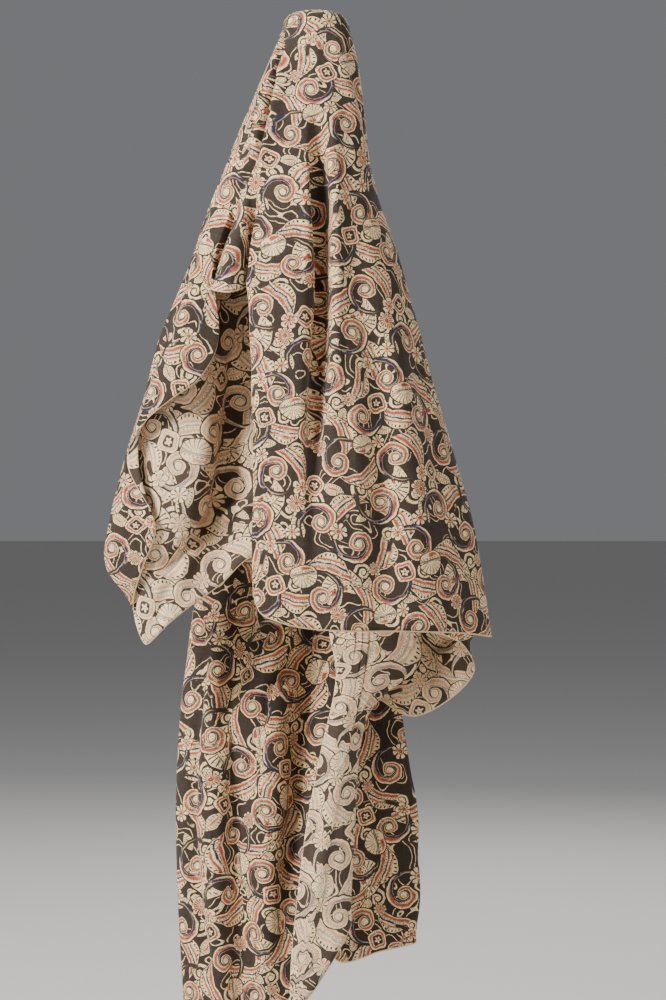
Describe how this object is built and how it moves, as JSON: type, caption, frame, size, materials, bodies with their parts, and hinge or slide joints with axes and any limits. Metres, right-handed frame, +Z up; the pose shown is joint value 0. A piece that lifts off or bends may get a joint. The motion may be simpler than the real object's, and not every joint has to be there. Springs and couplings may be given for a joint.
{
  "type": "hanging printed cloth",
  "caption": "Length of block-printed cotton hung from one point, falling in a cone of deep folds with a slit, a front hem and long rear tails.",
  "frame": {"origin": "the hang point at the top of the cloth", "axes": "+Z up, the front panel faces -Y, +X to the right as seen from the front"},
  "size_m": [0.3877, 0.2511, 1.0466],
  "materials": {
    "printed_cotton": "matt woven cotton, block printed on the outer side, paler on the back"
  },
  "bodies": {
    "root": {"cloth": "printed_cotton"}
  },
  "joints": []
}
